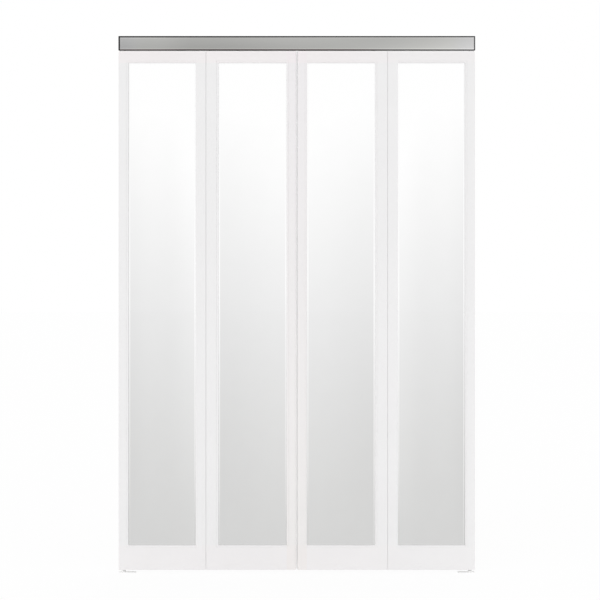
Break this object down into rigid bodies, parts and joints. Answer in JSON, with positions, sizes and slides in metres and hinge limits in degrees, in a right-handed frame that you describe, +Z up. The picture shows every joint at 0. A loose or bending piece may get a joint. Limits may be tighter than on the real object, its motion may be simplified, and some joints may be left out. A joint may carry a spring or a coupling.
{
  "type": "bifold closet door",
  "caption": "Mirrored bifold closet door: two folding pairs of white-framed mirror leaves under a metal-faced top track, with sprung pivots, guide wheels and floor brackets.",
  "frame": {"origin": "on the floor at the middle of the opening's width, on the leaves' middle plane", "axes": "+X along the opening to the right seen from the room, +Y into the closet, +Z up"},
  "size_m": [1.349, 0.0484, 2.032],
  "materials": {
    "white_frame": "satin white paint on fibreboard",
    "mirror_glass": "silvered glass with ground bevel",
    "hardboard": "smooth brown hardboard",
    "hinge_steel": "bright zinc plate",
    "screw_steel": "bright zinc plate",
    "pin_steel": "turned and zinc plated",
    "spring_steel": "drawn spring wire",
    "nylon": "moulded white nylon",
    "bracket_steel": "white powder coat on steel",
    "cast_zinc": "die-cast zinc",
    "mill_aluminium": "mill-finish extrusion",
    "fascia_metal": "satin brushed",
    "cap_plastic": "fine moulded texture",
    "snubber_rubber": "moulded rubber"
  },
  "bodies": {
    "root": {"top_track": "mill_aluminium", "fascia": "fascia_metal", "left_end_cap": "cap_plastic", "right_end_cap": "cap_plastic", "left_top_pivot_bracket": "cast_zinc", "right_top_pivot_bracket": "cast_zinc", "bracket_clamp_screws": "screw_steel", "centre_snubber": "snubber_rubber", "left_floor_bracket": "bracket_steel", "right_floor_bracket": "bracket_steel", "left_bottom_pivot_pin": "pin_steel", "right_bottom_pivot_pin": "pin_steel"},
    "left_outer_leaf": {"left_outer_jamb_stile": "white_frame", "left_outer_hinge_stile": "white_frame", "left_outer_top_rail": "white_frame", "left_outer_bottom_rail": "white_frame", "left_outer_mirror": "mirror_glass", "left_outer_backing_board": "hardboard", "left_outer_hinge_plates": "hinge_steel", "left_hinge_pins": "hinge_steel", "left_outer_hinge_screws": "screw_steel", "left_pivot_sleeves": "nylon", "left_top_pivot_spring": "spring_steel"},
    "left_inner_leaf": {"left_inner_hinge_stile": "white_frame", "left_inner_lead_stile": "white_frame", "left_inner_top_rail": "white_frame", "left_inner_bottom_rail": "white_frame", "left_inner_mirror": "mirror_glass", "left_inner_backing_board": "hardboard", "left_inner_hinge_plates": "hinge_steel", "left_inner_hinge_screws": "screw_steel", "left_guide_sleeve": "nylon", "left_guide_spring": "spring_steel"},
    "left_top_pin": {"left_top_pivot_pin": "nylon"},
    "left_guide": {"left_guide_pin": "nylon"},
    "left_wheel": {"left_guide_wheel": "nylon"},
    "right_outer_leaf": {"right_outer_jamb_stile": "white_frame", "right_outer_hinge_stile": "white_frame", "right_outer_top_rail": "white_frame", "right_outer_bottom_rail": "white_frame", "right_outer_mirror": "mirror_glass", "right_outer_backing_board": "hardboard", "right_outer_hinge_plates": "hinge_steel", "right_hinge_pins": "hinge_steel", "right_outer_hinge_screws": "screw_steel", "right_pivot_sleeves": "nylon", "right_top_pivot_spring": "spring_steel"},
    "right_inner_leaf": {"right_inner_hinge_stile": "white_frame", "right_inner_lead_stile": "white_frame", "right_inner_top_rail": "white_frame", "right_inner_bottom_rail": "white_frame", "right_inner_mirror": "mirror_glass", "right_inner_backing_board": "hardboard", "right_inner_hinge_plates": "hinge_steel", "right_inner_hinge_screws": "screw_steel", "right_guide_sleeve": "nylon", "right_guide_spring": "spring_steel"},
    "right_top_pin": {"right_top_pivot_pin": "nylon"},
    "right_guide": {"right_guide_pin": "nylon"},
    "right_wheel": {"right_guide_wheel": "nylon"}
  },
  "joints": [
    {"name": "left_pivot_swing", "type": "hinge", "parent": "root", "child": "left_outer_leaf", "pos_m": [-0.6565, 0, 0.012], "axis": [0, 0, -1], "range_deg": [0, 85]},
    {"name": "left_leaf_fold", "type": "hinge", "parent": "left_outer_leaf", "child": "left_inner_leaf", "pos_m": [-0.344, 0.021, 0.99], "axis": [0, 0, 1], "range_deg": [0, 170]},
    {"name": "left_top_pin_press", "type": "slide", "parent": "left_outer_leaf", "child": "left_top_pin", "axis": [0, 0, -1], "range_m": [0, 0.016], "stiffness_N_per_m": 900, "springref_m": -0.012, "deforming": ["left_top_pivot_spring"]},
    {"name": "left_guide_pin_press", "type": "slide", "parent": "left_inner_leaf", "child": "left_guide", "axis": [0, 0, -1], "range_m": [0, 0.005], "stiffness_N_per_m": 900, "springref_m": -0.012, "deforming": ["left_guide_spring"]},
    {"name": "left_wheel_spin", "type": "hinge", "parent": "left_guide", "child": "left_wheel", "pos_m": [-0.0315, 0, 1.984], "axis": [0, 0, 1], "continuous": true},
    {"name": "right_pivot_swing", "type": "hinge", "parent": "root", "child": "right_outer_leaf", "pos_m": [0.6565, 0, 0.012], "axis": [0, 0, 1], "range_deg": [0, 85]},
    {"name": "right_leaf_fold", "type": "hinge", "parent": "right_outer_leaf", "child": "right_inner_leaf", "pos_m": [0.344, 0.021, 0.99], "axis": [0, 0, -1], "range_deg": [0, 170]},
    {"name": "right_top_pin_press", "type": "slide", "parent": "right_outer_leaf", "child": "right_top_pin", "axis": [0, 0, -1], "range_m": [0, 0.016], "stiffness_N_per_m": 900, "springref_m": -0.012, "deforming": ["right_top_pivot_spring"]},
    {"name": "right_guide_pin_press", "type": "slide", "parent": "right_inner_leaf", "child": "right_guide", "axis": [0, 0, -1], "range_m": [0, 0.005], "stiffness_N_per_m": 900, "springref_m": -0.012, "deforming": ["right_guide_spring"]},
    {"name": "right_wheel_spin", "type": "hinge", "parent": "right_guide", "child": "right_wheel", "pos_m": [0.0315, 0, 1.984], "axis": [0, 0, 1], "continuous": true}
  ],
  "couplings": [
    {"joint": "left_leaf_fold", "follows": "left_pivot_swing", "ratio": 2},
    {"joint": "right_leaf_fold", "follows": "right_pivot_swing", "ratio": 2}
  ]
}
